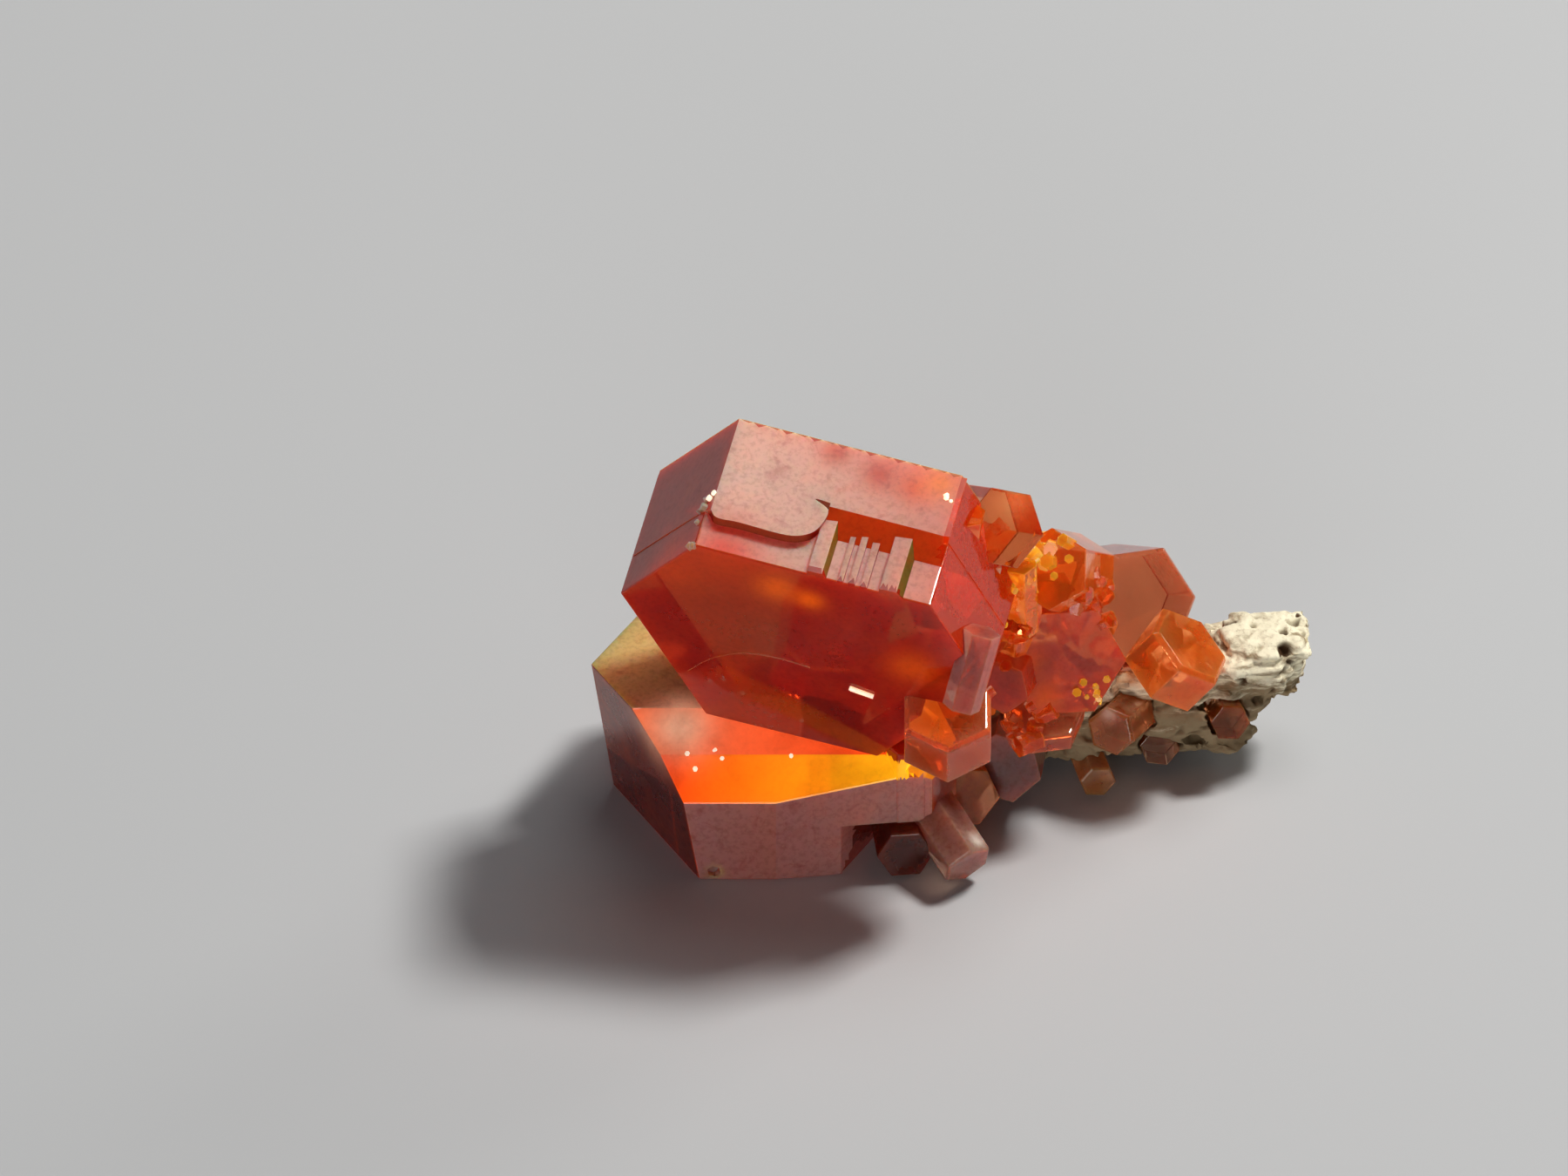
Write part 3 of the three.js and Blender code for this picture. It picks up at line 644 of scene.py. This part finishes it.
def paintCrystals(piece, crystals):  # each face takes the paint of the crystal that it lies on
    refine(piece, fineEdge)
    mesh = piece.data
    faces, corners = len(mesh.polygons), len(mesh.loops)
    centres, leans = np.empty(faces * 3), np.empty(faces * 3)
    spots, ends = np.empty(len(mesh.vertices) * 3), np.empty(corners, int)
    mesh.polygons.foreach_get("center", centres)
    mesh.polygons.foreach_get("normal", leans)
    mesh.vertices.foreach_get("co", spots)
    mesh.loops.foreach_get("vertex_index", ends)
    centres = (centres.reshape(-1, 3) - toFrame) / mm
    leans = leans.reshape(-1, 3)
    spots = ((spots.reshape(-1, 3) - toFrame) / mm)[ends]
    best = np.full(faces, 9.0)
    owner = np.zeros((faces, 2), int)
    shapes = [(name, crystalPlanes(c)) for name, c in crystals.items()]
    for i, (name, planes) in enumerate(shapes):
        away = np.array([centres @ n - r for _, n, r in planes])
        worst = np.abs(away.max(axis=0))
        nearer = worst < best
        best[nearer] = worst[nearer]
        owner[nearer] = np.stack((np.full(faces, i), away.argmax(axis=0)), axis=1)[nearer]
    colours, paintedGlows = np.zeros((faces, 3, 4)), np.zeros((faces, 3, 4))
    spots = spots.reshape(faces, 3, 3)
    for i, (name, planes) in enumerate(shapes):
        paint = paints[name.split(".")[0]]
        for j, (face, n, r) in enumerate(planes):
            mine = (owner[:, 0] == i) & (owner[:, 1] == j)
            if not mine.any():
                continue
            here = spots[mine]
            others = [r2 - here @ n2 for k, (_, n2, r2) in enumerate(planes) if k != j]
            own = face in paint.get("faces", {})
            near = np.exp(-np.clip(np.min(others, axis=0), 0, 9) / paintEdge)[..., None]
            near = near * (ownEdgeShare if own else edgeShare)
            body, haze, glow, rough = np.array(paint["body"]), paint["haze"], paint["glow"], plainRough
            if own:
                left, right, haze, glow, rough = paint["faces"][face]
                x = here[..., 0:1]
                share = (x - x.min()) / max(1e-6, x.max() - x.min())
                body = np.array(left) * (1 - share) + np.array(right) * share
            colours[mine, :, :3] = body * (1 - near) + np.array(paint["edge"]) * near
            colours[mine, :, 3] = haze
            # painted glow: a share of the face colour is emitted
            paintedGlows[mine, :, :3] = colours[mine, :, :3] * glow
            paintedGlows[mine, :, 3] = rough
            # spots: soft patches of painted highlight, painted glow and painted reflection, with their own
            # emitted share
            for middle, reach, colour, paintedSpotGlow in paint.get("spots", ()):
                weight = np.exp(-((here - np.array(middle)) ** 2).sum(axis=2) / reach ** 2)[..., None]
                colours[mine, :, :3] += (np.array(colour) - colours[mine, :, :3]) * weight
                paintedGlows[mine, :, :3] += (np.array(colour) * paintedSpotGlow - paintedGlows[mine, :, :3]) * weight
            if face == "side0" and "breaks" in paint:  # step, slope and strips on the top of the tablet
                along, back, out, _ = facePlacement(crystals[name], 0)
                tilt = leans @ np.stack((along, back, out), axis=1)
                kinds = dict(riser=tilt[:, 2] < 0.35, slope=(tilt[:, 1] < -0.2) & (tilt[:, 2] >= 0.35),
                             fall=(tilt[:, 0] > 0.2) & (tilt[:, 2] >= 0.35))
                for kind, these in kinds.items():
                    colour, haze, glow = paint["breaks"][kind]
                    colours[mine & these] = (*colour, haze)
                    paintedGlows[mine & these, :, :3] = np.array(colour) * glow
    for layerName, values in (("tint", colours), ("glow", paintedGlows)):
        layer = mesh.attributes.new(layerName, "FLOAT_COLOR", "CORNER")
        layer.data.foreach_set("color", values.ravel())
    print(piece.name, "painted:", faces, "faces")


redCrystal = crystalFinish("redCrystal", crystalLook)
brownCrystal = crystalFinish("brownCrystal", crystalLook)
paleRock = rockFinish()
studioFloor = floorFinish()

cluster, tiny = crystalCluster()
raisedBack = dict(tablet, sides=tuple(d + e for d, e in zip(tablet["sides"], tabletLook["stepSides"])))
paintCrystals(cluster, {**crust, **spires, **tiny, "tablet": tablet, "tablet.back": raisedBack, "prism": prism})
cluster.data.materials.clear()
cluster.data.materials.append(redCrystal)
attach(cluster, "root")
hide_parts("crystal_cluster")

for node, shape in singles.items():
    words = node.split("_")
    name = words[0] + "".join(w.title() for w in words[1:])
    single = settle(crystalObject(name, shape, edgeRound["smallWidth"]))
    paintCrystals(single, {node: shape})
    single.data.materials.append(brownCrystal)
    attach(single, "root")
    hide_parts(node)
print("single crystals:", len(singles))


def hostRock():
    piece = bpy.data.objects.new("hostRock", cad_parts["matrix"].data.copy())
    bpy.context.scene.collection.objects.link(piece)
    step = piece.modifiers.new("even", "REMESH")
    step.mode = "VOXEL"
    step.voxel_size = rockLook["voxel"] * mm
    takeMesh(piece)
    mesh = piece.data
    count = len(mesh.vertices)
    spots = np.empty(count * 3)
    mesh.vertices.foreach_get("co", spots)
    spots = spots.reshape(-1, 3) / mm
    outward = np.array([v.normal for v in mesh.vertices])
    pits = np.zeros(count)
    move = np.zeros(count)
    for i, (x, y, z) in enumerate(spots):
        layer = noise.noise((x * 0.8, y * 0.8, z * 6.0))
        lump = noise.noise((x * 3.0 + 7.0, y * 3.0, z * 4.0))
        grain = noise.noise((x * 9.0, y * 9.0 + 3.0, z * 11.0))
        pore = noise.noise((x * 4.2 + 31.0, y * 4.2, z * 6.5))
        hole = max(0.0, pore - 0.22)
        pits[i] = min(1.0, hole * 3.2)
        move[i] = min(0.03, 0.08 * layer + 0.07 * lump + 0.025 * grain - 0.3 * hole)
    spots += outward * move[:, None]
    mesh.vertices.foreach_set("co", (spots * mm).ravel())
    layer = mesh.attributes.new("pit", "FLOAT", "POINT")
    layer.data.foreach_set("value", pits)
    for face in mesh.polygons:
        face.use_smooth = True
    mesh.materials.clear()
    mesh.materials.append(paleRock)
    print("rock:", len(mesh.polygons), "faces")
    return piece


rock = hostRock()
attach(rock, "root")
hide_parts("matrix")


# Stage, light and camera.
studio = dict(floor=1.5, floorDrop=0.00001,
              key=dict(towards=(0.46, 0.24, 0.855), away=0.25, size=(0.045, 0.045), power=0.42,
                       colour=(1.0, 0.98, 0.95)),
              top=dict(towards=(0.12, 0.255, 0.952), away=0.25, size=(0.11, 0.11), power=0.08,
                       colour=(1.0, 0.98, 0.96)),
              rim=dict(towards=(0.66, 0.58, 0.47), away=0.25, size=(0.07, 0.07), power=0.06,
                       colour=(1.0, 0.97, 0.92)),
              fill=dict(towards=(-0.15, -0.95, 0.22), away=0.30, size=(0.22, 0.10), power=0.20,
                        colour=(0.97, 0.98, 1.0)),
              sky=(0.85, 0.92, 1.0), skyStrength=0.04)
view = dict(lookAt=(0.0, -5.2, 4.07), elevation=38.0, away=0.28, width=1800, pixelsPerMm=68.5, sensor=36.0)

bpy.ops.mesh.primitive_plane_add(size=studio["floor"], location=(0, 0, -studio["floorDrop"]))
floor = bpy.context.object
floor.name = "studioFloor"
floor.data.materials.append(studioFloor)


def softbox(name, look):
    light = bpy.data.lights.new(name, "AREA")
    light.shape = "RECTANGLE"
    light.size, light.size_y = look["size"]
    light.energy = look["power"]
    light.color = look["colour"]
    lamp = bpy.data.objects.new(name, light)
    bpy.context.scene.collection.objects.link(lamp)
    towards = Vector(look["towards"]).normalized()
    lamp.location = towards * look["away"]
    lamp.rotation_euler = towards.to_track_quat("Z", "Y").to_euler()
    return lamp


softbox("keyLight", studio["key"])
softbox("topLight", studio["top"])
softbox("rimLight", studio["rim"])
softbox("fillLight", studio["fill"])
world = bpy.data.worlds.new("studio")
bpy.context.scene.world = world
world.use_nodes = True
world.node_tree.nodes["Background"].inputs["Color"].default_value = (*studio["sky"], 1.0)
world.node_tree.nodes["Background"].inputs["Strength"].default_value = studio["skyStrength"]

lens = bpy.data.cameras.new("camera")
camera = bpy.data.objects.new("camera", lens)
bpy.context.scene.collection.objects.link(camera)
target = Vector(np.array(view["lookAt"]) * mm + toFrame)
up = math.radians(view["elevation"])
back = Vector((0.0, -math.cos(up), math.sin(up)))
camera.location = target + back * view["away"]
camera.rotation_euler = back.to_track_quat("Z", "Y").to_euler()
lens.sensor_width = view["sensor"]
lens.lens = view["sensor"] * view["away"] / (view["width"] / view["pixelsPerMm"] * mm)
lens.clip_start, lens.clip_end = 0.01, 5.0
bpy.context.scene.camera = camera
bpy.context.scene.view_settings.view_transform = "Standard"
bpy.context.scene.view_settings.look = "Medium High Contrast"
print("camera and lights set")
